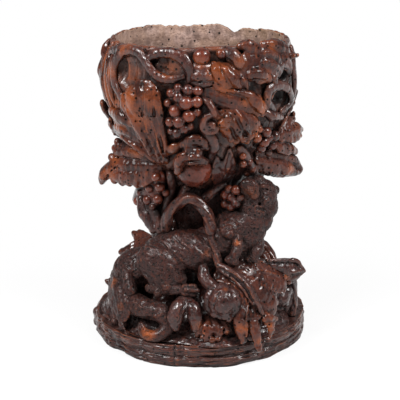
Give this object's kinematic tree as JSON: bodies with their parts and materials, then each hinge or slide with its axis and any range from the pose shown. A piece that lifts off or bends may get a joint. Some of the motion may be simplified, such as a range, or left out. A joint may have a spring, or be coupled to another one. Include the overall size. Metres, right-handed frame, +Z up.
{
  "type": "carved wooden cup",
  "caption": "Carved wooden goblet: a hollowed bowl dressed with vine, leaves and grapes, on a stump with a crouching beast and a round plinth",
  "frame": {"origin": "centre of the plinth's underside", "axes": "+Z up, out of the bowl's mouth; -Y towards the camera, where the beast crouches; +X to the camera's right"},
  "size_m": [0.108, 0.108, 0.15],
  "materials": {
    "bowl_wood": "waxed outside, bare and worn inside",
    "leaf_wood": "dark stain, waxed, worn to orange on the ridges",
    "vine_wood": "dark stain, waxed",
    "grape_wood": "red stain, polished",
    "beast_wood": "dark stain, waxed, tooled fur",
    "ground_wood": "dark stain, waxed",
    "plinth_wood": "dark stain, waxed"
  },
  "bodies": {
    "root": {"plinth": "plinth_wood", "stump": "ground_wood", "mound": "ground_wood", "beast_body": "beast_wood", "beast_head": "beast_wood", "beast_thigh": "beast_wood", "beast_hind_foot": "beast_wood", "beast_near_foreleg": "beast_wood", "beast_far_foreleg": "beast_wood", "beast_tail": "beast_wood", "vine_arch": "ground_wood", "fallen_branch": "ground_wood", "leaf_stalk": "ground_wood", "burl": "ground_wood", "root_fork": "ground_wood", "right_stone": "ground_wood", "left_scroll": "ground_wood", "left_stump_vine": "ground_wood", "right_stump_vine": "ground_wood", "right_twig": "ground_wood", "front_leaf": "leaf_wood", "shelf_leaf": "leaf_wood", "low_leaf": "leaf_wood", "left_wing_leaf": "leaf_wood", "left_spike_leaf": "leaf_wood", "right_wing_leaf": "leaf_wood", "back_left_leaf": "leaf_wood", "back_right_leaf": "leaf_wood", "bowl": "bowl_wood", "left_loop_vine": "vine_wood", "rim_left_vine": "vine_wood", "ring_vine": "vine_wood", "right_edge_vine": "vine_wood", "fruit_stem": "vine_wood", "back_vine": "vine_wood", "top_fruit": "grape_wood", "small_top_fruit": "grape_wood", "large_fruit": "grape_wood", "centre_grapes": "grape_wood", "right_grapes": "grape_wood", "small_right_grapes": "grape_wood", "low_left_grapes": "grape_wood", "low_right_grapes": "grape_wood", "side_grapes": "grape_wood", "back_grapes": "grape_wood", "large_left_leaf": "leaf_wood", "low_left_leaf": "leaf_wood", "centre_leaf": "leaf_wood", "top_leaf": "leaf_wood", "upper_right_leaf": "leaf_wood", "rim_right_leaf": "leaf_wood", "slant_leaf": "leaf_wood", "right_leaf": "leaf_wood", "low_right_leaf": "leaf_wood", "fruit_cap_leaf": "leaf_wood", "side_right_leaf": "leaf_wood", "back_right_bowl_leaf": "leaf_wood", "back_left_bowl_leaf": "leaf_wood", "side_left_leaf": "leaf_wood"}
  },
  "joints": []
}
